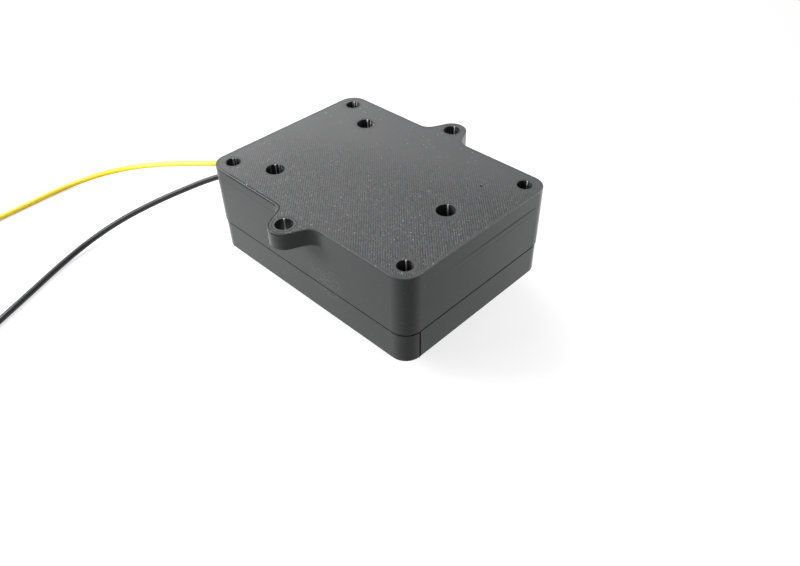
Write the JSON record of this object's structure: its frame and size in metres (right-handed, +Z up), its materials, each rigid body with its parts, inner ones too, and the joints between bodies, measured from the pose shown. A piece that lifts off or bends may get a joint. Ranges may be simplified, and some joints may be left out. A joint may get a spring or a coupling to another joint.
{
  "type": "tool battery adapter",
  "caption": "Rectangular adapter box with screw ears on its long sides and free leads, which slides onto a slide-type tool battery by a rail underneath and takes its power by blade contacts.",
  "frame": {"origin": "Middle of the housing in plan, at the height of the rail's underside, which the adapter stands on.", "axes": "+X runs along the long side of the housing, away from the leads. +Y runs across it, towards the yellow lead's side. +Z is up, out of the flat face with the screw holes."},
  "size_m": [0.2346, 0.2104, 0.0452],
  "materials": {
    "printed_plastic": "satin 3-D printed plastic with fine layer lines",
    "moulded_plastic": "fine matt moulding",
    "screw_steel": "black oxide",
    "insert_brass": "turned",
    "blade_metal": "nickel-plated brass, stamped",
    "terminal_metal": "tinned brass, stamped",
    "fuse_plastic": "translucent moulding",
    "yellow_insulation": "smooth extruded insulation",
    "black_insulation": "smooth extruded insulation",
    "tinned_copper": "tinned strands"
  },
  "bodies": {
    "root": {"top_housing": "printed_plastic", "base_housing": "printed_plastic", "slide_rail": "printed_plastic", "corner_screws": "screw_steel", "corner_inserts": "insert_brass", "centre_screws": "screw_steel", "centre_inserts": "insert_brass", "terminal_holder": "moulded_plastic", "terminal_holder_screws": "screw_steel", "positive_blade": "blade_metal", "negative_blade": "blade_metal", "positive_blade_socket": "terminal_metal", "negative_blade_socket": "terminal_metal", "lead_clamp": "printed_plastic", "lead_clamp_screws": "screw_steel", "fuse_holder": "moulded_plastic", "fuse_holder_screws": "screw_steel", "fuse_input_clip": "blade_metal", "fuse_output_clip": "blade_metal", "fuse_input_socket": "terminal_metal", "fuse_output_socket": "terminal_metal", "blade_fuse": "fuse_plastic", "fuse_jumper": "yellow_insulation", "yellow_inner_lead": "yellow_insulation", "black_inner_lead": "black_insulation", "yellow_lead": "yellow_insulation", "yellow_lead_coil": "yellow_insulation", "yellow_tinned_end": "tinned_copper", "black_lead": "black_insulation", "black_lead_coil": "black_insulation", "black_tinned_end": "tinned_copper"}
  },
  "joints": []
}
